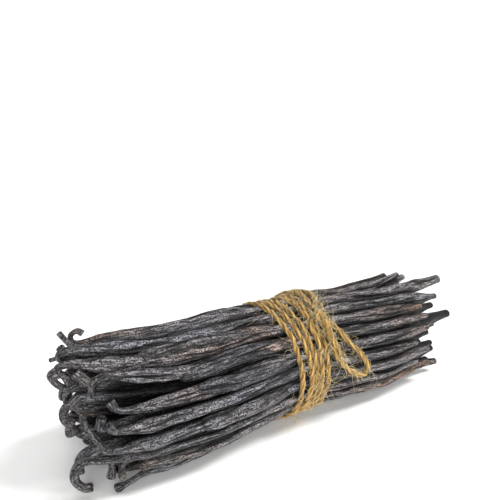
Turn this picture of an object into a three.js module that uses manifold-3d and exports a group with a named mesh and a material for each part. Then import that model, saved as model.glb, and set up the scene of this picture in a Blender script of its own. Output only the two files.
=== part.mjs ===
// A bundle of fifty-eight cured vanilla pods, tied round the waist with jute twine.
// Units are millimetres. +X runs along the pods to their blossom tips, +Z is up, and the
// lowest pods rest on the plane z = 0.
import * as THREE from 'three';
import { mergeVertices } from 'three/addons/utils/BufferGeometryUtils.js';
import Module from 'manifold-3d';

// The bundle is a flattened cone of pods, widest at the stalks and drawn in under the tie.
const podCount = 54;
const waistHalfWidth = 24.3;
const taperPerMm = 0.038;
const tiePinch = 2;
const tieReach = 13;
const press = 0.86;
const tieLift = 4.3;
const liftReach = 24;
const floorSink = 1.2;
const bundleMiddle = [-1.7, 0.5];

// Pods are packed afresh at each station along the bundle, a little further over each time.
const stationStep = 18;
const stationsEachWay = 4;
const wander = 1.7;
const settleRounds = 60;
const settleShare = 0.3;
const goldenAngle = 137.5;
const swingReach = 22;

// One pod runs from the knob of its stalk through neck and body to a blunt blossom tip.
const podRadius = [2.5, 3.4];
const neckX = [-78, -72];
const tipX = [56, 70];
const farSlant = 0.35;
const underSlant = 0.5;
const nearSlant = 0.25;
const neckLength = [12, 20];
const neckLead = 2;
const tipLength = [13, 22];
const tipShare = 0.5;
const swellShare = 0.07;
const swellLength = [24, 40];
const stalkRadius = 1.05;
const knobRadius = 1.55;
const knobLength = 1.7;
const curlRadius = [2, 3.2];
const curlTurn = [50, 150];
const curlStep = 75;
const curlStretch = 0.15;
const floorClearance = 2;
const bluntShare = 0.6;

// Under the pods that show lies a solid core; hidden pods are only stubs at its two ends.
const coreInset = 4;
const coreEnds = [-54, 56];
const stubEnds = [-40, 32];
const coreRings = 6;
const coreSides = 12;
const outerReach = 4.2;
const ringsPerSpan = 1;
const outerSides = 6;
const stubSides = 5;

// The twine is wound round the waist and tied on the near side in a bow. One bow loop hangs
// down the near side, and the other lies back over the top.
const twineRadius = 0.95;
const gap = 0.5;
const layer = twineRadius + gap;
const knotX = 8.3;
const turns = 5;
const turnsBeside = 4.5;
const stepsPerTurn = 24;
// Each turn crosses the top at one of topX, then comes down the near side at one of frontX.
const topX = [knotX, 7.3, 2.1, -1.5, -6.8];
const topTurn = -0.12;
const frontX = [5.5, 2.75, 0.5, -1.75, -6.2];
const frontTurn = 0.17;
// The last stretch crosses over them out of sight and runs back to the knot from overX.
const overX = 11;
const overAcross = 0.6;
const overBack = 0.75;
const overSteps = 12;
const overClimb = 1.8;
const overRise = 0.17;
const overFall = [0.5, 0.65];
const twineSides = 6;
const loopSides = 8;
const knotSides = [6, 10];
const knotAngle = 115;
const knotRadius = 1.6;
const knotFlatness = 0.85;
const knotStretch = 1.35;
const knotTilt = 20;
const knotTurn = 40;
const cutEndSteps = 9;
const farLoopSteps = 16;
const loopSteps = 18;
// Places off the bundle's skin as [x, angle over the top from +Y, rise].
const cutEndPlaces = [[8.3, 118, 1.5], [8.1, 128, 2.6], [7.8, 138, 2.6], [7.7, 147, 2.6], [8.1, 155, 2.6],
  [9, 161, 2.5]];
const farLoopPlaces = [[8.9, 113.5, 1], [10.4, 105, 0.2], [12, 94, 0], [13, 80, 0], [13.3, 60, 0],
  [13.5, 42, 0], [15, 33, 0], [16.6, 42, 0], [17, 60, 0], [16.8, 80, 0], [15.6, 94, 0],
  [13.8, 103, 0.2], [9.8, 112, 1]];
const loopPlaces = [[11.2, 124, 0], [11.7, 131, 0], [13.4, 140, 0], [15.7, 152, 0], [18.5, 161, 0],
  [20.7, 169, 0], [22.3, 178.5, 0], [21.6, 185, 0], [18.6, 186, 0], [15, 181, 0], [12.5, 176, 0],
  [10.5, 169, 0], [9.1, 162, 0], [8.5, 155, 0], [8.4, 147, 0], [8.5, 138, 0], [8.8, 131, 0]];

// Stalks that show on the near side: where the neck ends, then steps (across, up) in an
// upright plane turned by stalkPlane degrees, the thickness of the stalk and of its knob.
const stalkPlane = -38;
const nearStalks = [
  { neck: [-66, -17, 6.4], steps: [[-3.1, -2.2], [-5.3, -3.6], [-7.2, -4.6]], stalk: 1, knob: 1.6 },
  { neck: [-64, -20.5, 11.8], steps: [[-1, -0.3], [-2.2, -1]], stalk: 2.1, knob: 2 },
  { neck: [-75.5, -22, 20.5], steps: [[-3.7, -0.2], [-5.8, 2.7], [-7.9, 5.3], [-9.5, 8], [-10, 11]],
    stalk: 1.1, knob: 0.9 },
  { neck: [-73.7, -20, 16.5], steps: [[-6.4, -0.9], [-10.5, -1.3], [-13.3, -3], [-14.5, -5.6],
    [-14.5, -7.9], [-13.3, -9.6], [-11.8, -10.5], [-10.3, -10.3]], stalk: 1.5, knob: 1.65 },
  { neck: [-75, -11, 17], steps: [[-3, -1], [-6.4, -3.3], [-7.9, -6], [-7.9, -9]], stalk: 1.7, knob: 1.4 },
  { neck: [-77, 1.4, 45.8], steps: [[-2, 1.8], [-4.1, 4.4]], stalk: 0.95, knob: 1 },
  { neck: [-75, 6.5, 45.2], steps: [[-0.7, 2], [0.3, 3.3], [1.7, 3.9], [2.8, 3.3]], stalk: 0.9, knob: 1.2 },
  { neck: [-79, -1.6, 46.2], steps: [[-3, -0.7], [-4, -2.3], [-3, -3.7]], stalk: 1.6, knob: 1 },
  { neck: [-82, -4.5, 43.6], steps: [[-2.9, -1.2], [-2.9, -2.8], [-1.2, -3.8], [-0.2, -5.7], [0.2, -7.7]],
    stalk: 1.3, knob: 1.1 },
  { neck: [-81, 1.7, 43.1], steps: [[-1.4, 0], [-3.5, -0.6]], stalk: 0.75, knob: 0.8 },
  { neck: [-74, -15, 41.6], steps: [[-2.4, -0.7], [-4.6, -2.7], [-5.2, -5.3]], stalk: 1.4, knob: 1.2 },
  { neck: [-77, -10, 37], steps: [[-2.2, 2], [-4.3, 4]], stalk: 1.7, knob: 1.7 },
  { neck: [-80, -6.4, 37], steps: [[-3, -1.3], [-5.5, -0.4], [-7.3, 1.3], [-7.8, 3], [-6.4, 3.8]],
    stalk: 1.2, knob: 2.1 },
  { neck: [-79, -3.2, 34], steps: [[-2.3, -0.6], [-3.4, -2.1], [-3.7, -4]], stalk: 0.9, knob: 1 },
  { neck: [-80, -12.5, 35], steps: [[-2.4, -0.3], [-3.7, -1.7]], stalk: 1.7, knob: 1.5 },
  { neck: [-80, -9, 30.5], steps: [[-4.3, 0.7], [-5.9, -1.3], [-5.8, -3.7], [-4.1, -5]],
    stalk: 1.5, knob: 2.2 },
  { neck: [-79, -1.5, 19.5], steps: [[-1.2, -0.3], [-2.4, -0.5]], stalk: 1.6, knob: 2.2 },
  { neck: [-78, -8, 22], steps: [[-1.2, -2], [-2.4, -2.3], [-4, -1.2], [-5, 1]], stalk: 0.85, knob: 0.9 },
  { neck: [-74, -14.4, 12.5], steps: [[-0.3, -2.3], [-0.6, -4.6]], stalk: 1.1, knob: 1.5 },
  { neck: [-72, -17, 12.5], steps: [[-0.2, -2], [-0.3, -4.3]], stalk: 1, knob: 1.3 },
];

// Blossom tips that show: where each ends, and how thick it is there.
const nearTips = [
  { end: [83, -1.3, 35.3], radius: 2 },
  { end: [76, -6.8, 31], radius: 1.3 },
  { end: [74, -6.7, 27.5], radius: 1.5 },
  { end: [83, -7.6, 22.2], radius: 1.8 },
  { end: [78, -4.8, 17.7], radius: 1 },
  { end: [69, -5.9, 12.3], radius: 1.6 },
  { end: [74, -6.9, 9.2], radius: 2.2 },
  { end: [70, -9.2, 5.7], radius: 1.5 },
  { end: [74, -10.6, 4.2], radius: 1.4 },
  { end: [63, 9, 38], radius: 1.4 },
  { end: [67, 6, 38.4], radius: 1.4 },
  { end: [71, 6.5, 36.6], radius: 1.4 },
];

// Four pods lie over the others with a blunt end towards the stalks, and sink in among them at
// the tie. Places off the skin as [x, angle over the top from +Y, rise].
const overPods = [
  { radius: 3.2,
    places: [[-49.5, 136, -3.2], [-39, 136, -3], [-27, 135, -3.2], [-17, 137, -4], [-6, 139, -6.5]] },
  { radius: 2.7,
    places: [[-46, 152, -3.1], [-35, 154, -3], [-23, 156, -3.2], [-15, 157, -4], [-6, 157, -6.5]] },
  { radius: 2.8,
    places: [[-46.5, 182, -3.1], [-35, 182, -3], [-24, 184, -3.2], [-16, 186, -4], [-6, 189, -6.5]] },
  { radius: 2.5,
    places: [[-60, 112, -3], [-49, 111, -2.8], [-36, 112, -3], [-22, 116, -4], [-8, 118, -6.5]] },
];
const overStart = 0.75;

const colours = { pod: 0x2b2624, twine: 0xc79a45 };
const degrees = THREE.MathUtils.degToRad;
const mix = THREE.MathUtils.lerp;
const smooth = (t) => THREE.MathUtils.smoothstep(t, 0, 1);

const wasm = await Module();
wasm.setup();

let seed = 2026;
function draw([low, high]) {
  seed = (seed * 1664525 + 1013904223) % 4294967296;
  return mix(low, high, seed / 4294967296);
}

// The skin that the pods are packed inside, and how far it stands off the floor.
const halfWidth = (x) => waistHalfWidth - taperPerMm * x - tiePinch * Math.exp(-((x / tieReach) ** 2));
const lift = (x) => tieLift * Math.exp(-((x / liftReach) ** 2)) - floorSink;

// Pods are packed in round sections, which are then pressed flat onto the floor.
const toBundle = (x, place) => new THREE.Vector3(x, place.x, lift(x) + press * (halfWidth(x) + place.y));
const toRound = ([x, y, z]) => new THREE.Vector2(y, (z - lift(x)) / press - halfWidth(x));

// Overlapping pods push each other apart, and the skin holds them in.
function settle(places, radii, reach) {
  for (let round = 0; round < settleRounds; round += 1) {
    const moves = places.map(() => new THREE.Vector2());
    for (let first = 0; first < places.length; first += 1) {
      for (let second = first + 1; second < places.length; second += 1) {
        const between = places[second].clone().sub(places[first]);
        const overlap = radii[first] + radii[second] - between.length();
        if (overlap > 0) {
          between.setLength(overlap * settleShare);
          moves[first].sub(between);
          moves[second].add(between);
        }
      }
    }
    places.forEach((place, index) => place.add(moves[index]).clampLength(0, reach - radii[index]));
  }
}

// Pods keep the same share of the section all along, so a wider end is looser, not emptier.
const sharesAt = (x, radii) => radii.map((radius) => radius * halfWidth(x) / halfWidth(0));

function packPods(radii) {
  const spread = halfWidth(0) - podRadius[1];
  const waist = radii.map((radius, index) => {
    const distance = spread * Math.sqrt((index + 0.5) / podCount);
    const angle = degrees(goldenAngle * index);
    return new THREE.Vector2(distance * Math.cos(angle), distance * Math.sin(angle));
  });
  settle(waist, radii, halfWidth(0));
  const packed = new Map([[0, waist]]);
  for (const side of [-1, 1]) {
    for (let step = 1; step <= stationsEachWay; step += 1) {
      const x = side * step * stationStep;
      const before = x - side * stationStep;
      const places = packed.get(before).map((place) => {
        const drift = new THREE.Vector2(draw([-wander, wander]), draw([-wander, wander]));
        return place.clone().multiplyScalar(halfWidth(x) / halfWidth(before)).add(drift);
      });
      settle(places, sharesAt(x, radii), halfWidth(x));
      packed.set(x, places);
    }
  }
  return packed;
}

const radii = Array.from({ length: podCount }, () => draw(podRadius));
const stations = packPods(radii);
const stationX = [...stations.keys()].sort((a, b) => a - b);

// The place of a pod at any x, read between the stations or carried on past the last.
function placeAt(index, x) {
  const last = stationX.length - 2;
  const left = Math.min(last, Math.max(0, Math.floor((x - stationX[0]) / stationStep)));
  const share = (x - stationX[left]) / stationStep;
  const from = stations.get(stationX[left])[index];
  return from.clone().lerp(stations.get(stationX[left + 1])[index], share);
}

// Hidden stalks end further in on the far side and underneath, hidden tips on the near side.
function growPod(index) {
  const stalkEnd = placeAt(index, neckX[0]);
  const tipEnd = placeAt(index, tipX[0]);
  const neck = draw(neckX) + farSlant * Math.max(0, stalkEnd.x) + underSlant * Math.max(0, -stalkEnd.y);
  const tip = draw(tipX) - nearSlant * Math.max(0, -tipEnd.x);
  return {
    index,
    radius: radii[index],
    neck: toBundle(neck, placeAt(index, neck)),
    tip: toBundle(tip, placeAt(index, tip)),
    neckLength: draw(neckLength),
    tipLength: draw(tipLength),
    tipRadius: radii[index] * tipShare,
    swellLength: draw(swellLength),
    swellPhase: draw([0, 2 * Math.PI]),
    curlRadius: draw(curlRadius),
    curlTurn: draw(curlTurn),
    curlAngle: draw([0, 2 * Math.PI]),
    stalk: stalkRadius,
    knob: knobRadius,
    steps: null,
  };
}

const pods = radii.map((radius, index) => growPod(index));

// Each stalk or tip that shows belongs to the free pod whose place there is nearest.
function nearestFree(point, taken) {
  const target = toRound(point);
  const distance = (pod) => placeAt(pod.index, point[0]).distanceTo(target);
  const free = pods.filter((pod) => !taken.has(pod));
  const nearest = free.reduce((best, pod) => (distance(pod) < distance(best) ? pod : best));
  taken.add(nearest);
  return nearest;
}

const withStalk = new Set();
for (const { neck, steps, stalk, knob } of nearStalks) {
  const pod = nearestFree(neck, withStalk);
  Object.assign(pod, { neck: new THREE.Vector3(...neck), steps, stalk, knob });
}
const withTip = new Set();
for (const { end, radius } of nearTips) {
  const pod = nearestFree(end, withTip);
  Object.assign(pod, { tip: new THREE.Vector3(...end), tipRadius: radius });
}

// Where a pod's middle line passes a station, swung over towards a neck or tip that was moved.
function bodyPoint(pod, x) {
  const point = toBundle(x, placeAt(pod.index, x));
  for (const end of [pod.neck, pod.tip]) {
    const swing = end.clone().sub(toBundle(end.x, placeAt(pod.index, end.x)));
    point.addScaledVector(swing, Math.exp(-Math.abs(x - end.x) / swingReach));
  }
  return point;
}

// Points of a stalk from its neck outwards: the steps that show, or a plain arc.
function stalkPoints(pod) {
  if (pod.steps) {
    const turn = degrees(stalkPlane);
    return pod.steps.map(([across, up]) => pod.neck.clone()
      .add(new THREE.Vector3(across * Math.cos(turn), across * Math.sin(turn), up)));
  }
  const side = new THREE.Vector3(0, Math.cos(pod.curlAngle), Math.sin(pod.curlAngle));
  if (pod.neck.z + 2 * side.z * pod.curlRadius < floorClearance) {
    side.z = Math.abs(side.z);
  }
  const count = Math.ceil(pod.curlTurn / curlStep);
  return Array.from({ length: count }, (_, step) => {
    const angle = degrees(pod.curlTurn * (step + 1) / count);
    const out = pod.curlRadius * (Math.sin(angle) + curlStretch * angle);
    return pod.neck.clone().add(new THREE.Vector3(-out, 0, 0))
      .addScaledVector(side, pod.curlRadius * (1 - Math.cos(angle)));
  });
}

// Rings along a pod: its centre line is one smooth curve, and each ring has its own radius.
function podRings(pod) {
  const stalk = stalkPoints(pod).reverse();
  const inner = stationX.filter((x) => (
    x > pod.neck.x + stationStep / 3 && x < pod.tip.x - stationStep / 3));
  const points = [...stalk, pod.neck, ...inner.map((x) => bodyPoint(pod, x)), pod.tip];
  const curve = new THREE.CatmullRomCurve3(points);
  const centres = curve.getPoints(ringsPerSpan * (points.length - 1));
  const lengths = [0];
  for (let ring = 1; ring < centres.length; ring += 1) {
    lengths.push(lengths[ring - 1] + centres[ring].distanceTo(centres[ring - 1]));
  }
  const neckAt = lengths[ringsPerSpan * stalk.length];
  const total = lengths[lengths.length - 1];
  return centres.map((centre, ring) => {
    const along = lengths[ring];
    const knob = (pod.knob - pod.stalk) * Math.exp(-((along / knobLength) ** 2));
    const swell = swellShare * Math.sin(2 * Math.PI * along / pod.swellLength + pod.swellPhase);
    const full = pod.radius * (1 + swell);
    const grown = mix(pod.stalk + knob, full, smooth((along - neckAt + neckLead) / pod.neckLength));
    const radius = mix(pod.tipRadius, grown, smooth((total - along) / pod.tipLength));
    return { centre, radius };
  });
}

// A closed tube through rings, with one smaller ring past each end to blunt it.
function sweep(rings, sides, flatness) {
  const blunted = (end, before) => {
    const radius = end.radius * bluntShare;
    const out = end.centre.clone().sub(before.centre).setLength(radius);
    return { centre: end.centre.clone().add(out), radius };
  };
  const all = [blunted(rings[0], rings[1]), ...rings, blunted(rings.at(-1), rings.at(-2))];
  let across = new THREE.Vector3(0.31, 0.9, 0.3);
  const frames = all.map((ring, index) => {
    const next = all[Math.min(index + 1, all.length - 1)].centre;
    const previous = all[Math.max(index - 1, 0)].centre;
    const along = next.clone().sub(previous).normalize();
    across = across.clone().addScaledVector(along, -across.dot(along)).normalize();
    return { across, over: along.clone().cross(across) };
  });
  const geometry = new THREE.CylinderGeometry(1, 1, 1, sides, all.length - 1);
  const position = geometry.attributes.position;
  for (let vertex = 0; vertex < position.count; vertex += 1) {
    const row = Math.round((0.5 - position.getY(vertex)) * (all.length - 1));
    const { centre, radius } = all[row];
    const offset = frames[row].across.clone().multiplyScalar(position.getX(vertex) * radius)
      .addScaledVector(frames[row].over, position.getZ(vertex) * radius);
    offset.z *= flatness;
    position.setXYZ(vertex, ...centre.clone().add(offset).toArray());
  }
  return geometry;
}

function toSolid(geometry) {
  geometry.deleteAttribute('normal');
  geometry.deleteAttribute('uv');
  const merged = mergeVertices(geometry, 1e-5);
  return new wasm.Manifold(new wasm.Mesh({
    numProp: 3,
    vertProperties: new Float32Array(merged.attributes.position.array),
    triVerts: new Uint32Array(merged.index.array),
  }));
}

function toMesh(name, solid, colour, roughness) {
  const { vertProperties, triVerts } = solid.getMesh();
  const geometry = new THREE.BufferGeometry();
  geometry.setAttribute('position', new THREE.BufferAttribute(vertProperties, 3));
  geometry.setIndex(new THREE.BufferAttribute(triVerts, 1));
  geometry.computeVertexNormals();
  const material = new THREE.MeshStandardMaterial({ color: colour, roughness, metalness: 0 });
  const mesh = new THREE.Mesh(geometry, material);
  mesh.name = name;
  mesh.position.set(-bundleMiddle[0], -bundleMiddle[1], 0);
  return mesh;
}

function makeCore() {
  const rings = Array.from({ length: coreRings }, (_, step) => {
    const x = mix(coreEnds[0], coreEnds[1], step / (coreRings - 1));
    return { centre: toBundle(x, new THREE.Vector2()), radius: halfWidth(x) - coreInset };
  });
  return toSolid(sweep(rings, coreSides, press));
}

// A pod shows along its whole length where it comes near the skin between the two ends.
const isOuter = (pod) => stationX.slice(1, -1).some((x) => (
  placeAt(pod.index, x).length() + pod.radius > halfWidth(x) - outerReach));

function podPieces(pod) {
  const rings = podRings(pod);
  if (isOuter(pod)) {
    return [toSolid(sweep(rings, outerSides, press))];
  }
  const ends = [
    rings.filter((ring) => ring.centre.x < stubEnds[0]),
    rings.filter((ring) => ring.centre.x > stubEnds[1]),
  ];
  return ends.map((stub) => toSolid(sweep(stub, stubSides, press)));
}

function overPiece({ radius, places }) {
  const rings = places.map((place, index) => (
    { centre: offSkin(place), radius: index === 0 ? overStart * radius : radius }));
  return toSolid(sweep(rings, outerSides, press));
}

// Pods and core are one solid, cut flat where it rests, without loose scraps or sealed hollows.
function makePods() {
  const aboveFloor = new THREE.BoxGeometry(400, 400, 400);
  aboveFloor.translate(0, 0, 200);
  const heap = wasm.Manifold.union([
    makeCore(),
    ...pods.flatMap(podPieces),
    ...overPods.map(overPiece),
  ]);
  const bodies = heap.intersect(toSolid(aboveFloor)).decompose();
  return bodies.reduce((largest, body) => (body.volume() > largest.volume() ? body : largest));
}

// Where a stretched thread passes round the pods at x, on the side that faces angle.
const pathRings = pods.map(podRings);
function sectionAt(rings, x) {
  const after = rings.findIndex((ring) => ring.centre.x > x);
  const from = rings[after - 1];
  const to = rings[after];
  const share = (x - from.centre.x) / (to.centre.x - from.centre.x);
  return { centre: from.centre.clone().lerp(to.centre, share), radius: mix(from.radius, to.radius, share) };
}
function roundPods(x, angle, clearance) {
  const outward = new THREE.Vector3(0, Math.cos(angle), Math.sin(angle));
  const touches = pathRings.map((rings) => {
    const { centre, radius } = sectionAt(rings, x);
    const edge = new THREE.Vector3(0, radius ** 2 * outward.y, (press * radius) ** 2 * outward.z);
    return centre.add(edge.divideScalar(Math.hypot(radius * outward.y, press * radius * outward.z)));
  });
  const outermost = touches.reduce((best, touch) => (touch.dot(outward) > best.dot(outward) ? touch : best));
  return outermost.addScaledVector(outward, clearance).setX(x);
}

// A place just off the skin that the pods are packed inside.
function offSkin([x, angle, rise]) {
  const clearance = layer + rise;
  const halfHeight = press * halfWidth(x);
  const y = (halfWidth(x) + clearance) * Math.cos(degrees(angle));
  const z = halfHeight + (halfHeight + clearance) * Math.sin(degrees(angle));
  return new THREE.Vector3(x, y, lift(x) + z);
}

// Turns start at the knot and go down the near side. They lie close together there, and spread
// out where they cross the top.
function windingPoint(turn) {
  const round = Math.floor(turn - topTurn);
  const toFront = smooth((turn - topTurn - round) / (frontTurn - topTurn));
  const toTop = smooth((turn - frontTurn - round) / (1 + topTurn - frontTurn));
  const front = mix(topX[round], frontX[round], toFront);
  const x = mix(front, topX[round + 1] ?? front, toTop);
  return roundPods(x, degrees(knotAngle) + 2 * Math.PI * turn, layer);
}

// The last stretch climbs over the turns behind the bundle and comes back to the knot.
function overPoint(share, startX) {
  const angle = degrees(knotAngle) + 2 * Math.PI * mix(turnsBeside, turns, share);
  const rise = smooth(share / overRise);
  const fall = smooth((overFall[1] - share) / (overFall[1] - overFall[0]));
  const across = mix(startX, overX, smooth(share / overAcross));
  const x = mix(across, knotX, smooth((share - overBack) / (1 - overBack)));
  return roundPods(x, angle, layer + overClimb * rise * fall);
}

function tube(points, sides) {
  return toSolid(sweep(points.map((centre) => ({ centre, radius: twineRadius })), sides, 1));
}

// The knot is two stretched rings of twine, tilted across each other over the turns.
function knotRing(tilt) {
  const ring = new THREE.TorusGeometry(knotRadius, twineRadius, ...knotSides);
  ring.scale(knotFlatness, knotStretch, 1);
  ring.rotateY(Math.PI / 2 + degrees(tilt));
  ring.rotateZ(-degrees(knotTurn));
  ring.rotateX(degrees(knotAngle - 90));
  ring.translate(...roundPods(knotX, degrees(knotAngle), layer + twineRadius).toArray());
  return toSolid(ring);
}

function placed(places, steps) {
  return new THREE.CatmullRomCurve3(places.map(offSkin)).getSpacedPoints(steps);
}

// The first half turn is a tube of its own, because the second turn presses onto it at the knot.
function makeTwine() {
  const steps = Math.round(stepsPerTurn * turnsBeside);
  const windings = Array.from({ length: steps + 1 }, (_, step) => windingPoint(step / stepsPerTurn));
  const last = windings.at(-1);
  const over = Array.from({ length: overSteps }, (_, step) => overPoint((step + 1) / overSteps, last.x));
  const firstHalf = Math.round(stepsPerTurn / 2);
  return wasm.Manifold.union([
    tube(windings.slice(0, firstHalf + 1), twineSides),
    tube(windings.slice(firstHalf), twineSides),
    tube([last, ...over], twineSides),
    tube(placed(cutEndPlaces, cutEndSteps), twineSides),
    tube(placed(farLoopPlaces, farLoopSteps), twineSides),
    knotRing(knotTilt),
    knotRing(-knotTilt),
  ]);
}

function makeLoop() {
  return tube(placed(loopPlaces, loopSteps), loopSides);
}

const bundle = new THREE.Group();
bundle.add(toMesh('pods', makePods(), colours.pod, 0.55));
bundle.add(toMesh('twine', makeTwine(), colours.twine, 0.9));
bundle.add(toMesh('twine_loop', makeLoop(), colours.twine, 0.9));
export default bundle;
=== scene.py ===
import math

import bmesh
import bpy
import numpy as np
from mathutils import Matrix, Vector


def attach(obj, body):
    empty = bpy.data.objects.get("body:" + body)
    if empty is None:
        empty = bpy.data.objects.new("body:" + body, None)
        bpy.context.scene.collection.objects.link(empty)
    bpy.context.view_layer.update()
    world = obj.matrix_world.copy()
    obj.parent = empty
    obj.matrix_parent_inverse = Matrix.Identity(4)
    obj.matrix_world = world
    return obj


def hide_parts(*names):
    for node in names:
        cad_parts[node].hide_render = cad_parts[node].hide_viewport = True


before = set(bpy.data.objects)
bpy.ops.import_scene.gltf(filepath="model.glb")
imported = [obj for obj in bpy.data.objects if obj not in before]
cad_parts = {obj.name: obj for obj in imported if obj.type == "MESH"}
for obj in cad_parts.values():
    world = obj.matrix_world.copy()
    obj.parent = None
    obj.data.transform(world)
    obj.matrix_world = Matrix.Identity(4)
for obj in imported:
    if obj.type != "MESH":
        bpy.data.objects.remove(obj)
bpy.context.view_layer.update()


# Camera. It looks down on the bundle's near side, from beyond the stalks, and a little past it,
# so that the bundle lies low in a square picture. Lengths in this file are millimetres, and the
# bundle is laid out about a middle of its own, which to_frame() moves onto the frame's origin.
MM = 0.001
bundle_middle = np.array([-1.7, 0.5, 0.0])
look_at = [0.0, 0.0, 25.0]
look_distance = 311.1
look_azimuth = -37.72
look_elevation = 23.66
look_past = 1.713
look_over = 6.709
lens_mm = 61.2
sensor_mm = 36
nearest_seen = 10


def to_frame(points):
    return (np.asarray(points, float) - bundle_middle) * MM


aim = Matrix.Rotation(math.radians(look_azimuth), 3, "Z")
aim = aim @ Matrix.Rotation(math.radians(90 - look_elevation), 3, "X")
eye = np.array(look_at) + look_distance * np.array(aim.col[2])
aim = aim @ Matrix.Rotation(math.radians(look_over), 3, "X")
aim = aim @ Matrix.Rotation(math.radians(look_past), 3, "Y")
camera_data = bpy.data.cameras.new("camera")
camera_data.sensor_width = sensor_mm
camera_data.lens = lens_mm
camera_data.clip_start = nearest_seen * MM
camera = bpy.data.objects.new("camera", camera_data)
camera.matrix_world = Matrix.Translation(Vector(to_frame(eye))) @ aim.to_4x4()
bpy.context.scene.collection.objects.link(camera)
bpy.context.scene.camera = camera
bpy.context.scene.view_settings.view_transform = "Standard"


# Bow loop. Three-ply jute twine, laid soft and hairy, is led out of the knot, round and back
# into it. It lies on the pods, just off the skin that they are packed inside. That skin is a
# flattened tube, pinched and lifted at the tie.
waist_half_width = 24.3
taper_per_mm = 0.038
tie_pinch = 2.0
tie_reach = 13.0
press = 0.86
tie_lift = 4.3
lift_reach = 24.0
floor_sink = 1.2

twine_radius = 0.95
twine_layer = 1.45
twine_sides = 24
twine_step = 0.3
ply_radius = 0.66
ply_offset = 0.22
ply_turn_mm = 15.0
ply_wander = 0.6
ply_wander_length = 7
twine_swell = 0.09
swell_lengths = [1.7, 4.3]
end_share = 0.55
end_slope = 1.2
pattern_apart = 97
wave_start = [0, 6]
curve_steps = 12

# Frayed strands stand up here and there: waves round the twine and their heights, how far each
# turns, and the lengths over which it turns and comes and goes.
fray_grain = 0.06
fray_waves = [[1, 0.09], [2, 0.08], [5, 0.07], [8, 0.06]]
fray_turn = [2, 4]
fray_turn_length = [1.2, 3.5]
fray_fade_length = [1.5, 5]

# Places along the loop: x, degrees over the top from the far side, and height off the skin.
loop_places = [
    [9.6, 118, 1.2], [11.2, 124, 0], [11.7, 131, 0], [13.4, 140, 0], [15.7, 152, 0], [18.5, 161, 0],
    [20.7, 169, 0], [22.3, 178.5, 0], [21.6, 185, 0], [18.6, 186, 0], [15, 181, 0], [12.5, 176, 0],
    [10.5, 169, 0], [9.1, 162, 0], [8.5, 155, 0], [8.4, 147, 0], [8.5, 138, 0], [8.8, 131, 0],
    [8.6, 121, 1.2],
]


def half_width(x):
    return waist_half_width - taper_per_mm * x - tie_pinch * math.exp(-((x / tie_reach) ** 2))


def lift(x):
    return tie_lift * math.exp(-((x / lift_reach) ** 2)) - floor_sink


def off_skin(place):
    x, angle, rise = place
    clearance = twine_layer + rise
    half_height = press * half_width(x)
    y = (half_width(x) + clearance) * math.cos(math.radians(angle))
    z = half_height + (half_height + clearance) * math.sin(math.radians(angle))
    return [x, y, lift(x) + z]


def smooth_curve(points, steps):
    """Points on the smooth curve through some points, with that many steps between two of them."""
    points = np.array(points, float)
    ends = 2 * points[0] - points[1], 2 * points[-1] - points[-2]
    held = np.vstack([ends[0], points, ends[1]])
    share = np.arange(steps)[:, None] / steps
    curve = []
    for before, start, end, after in zip(held, held[1:], held[2:], held[3:]):
        gaps = [max(np.linalg.norm(b - a) ** 0.5, 1e-4)
                for a, b in ((before, start), (start, end), (end, after))]
        leave = (start - before) / gaps[0] - (end - before) / (gaps[0] + gaps[1])
        leave = (leave + (end - start) / gaps[1]) * gaps[1]
        arrive = (end - start) / gaps[1] - (after - start) / (gaps[1] + gaps[2])
        arrive = (arrive + (after - end) / gaps[2]) * gaps[1]
        square = 3 * (end - start) - 2 * leave - arrive
        cube = 2 * (start - end) + leave + arrive
        curve.append(start + leave * share + square * share**2 + cube * share**3)
    return np.vstack([*curve, points[-1]])


def lengths_along(path):
    return np.concatenate([[0], np.cumsum(np.linalg.norm(np.diff(path, axis=0), axis=1))])


def respaced(path, lengths):
    """The points at those lengths along a path."""
    along = lengths_along(path)
    return np.stack([np.interp(lengths, along, path[:, axis]) for axis in range(3)], axis=1)


def frames_along(path):
    """Two directions across a path at each of its points, carried along it without a twist."""
    along = np.gradient(path, axis=0)
    along /= np.linalg.norm(along, axis=1, keepdims=True)
    across = np.empty_like(path)
    last = np.array([0.31, 0.9, 0.3])
    for index, direction in enumerate(along):
        last = last - direction * last.dot(direction)
        last /= np.linalg.norm(last)
        across[index] = last
    return across, np.cross(along, across)


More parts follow.
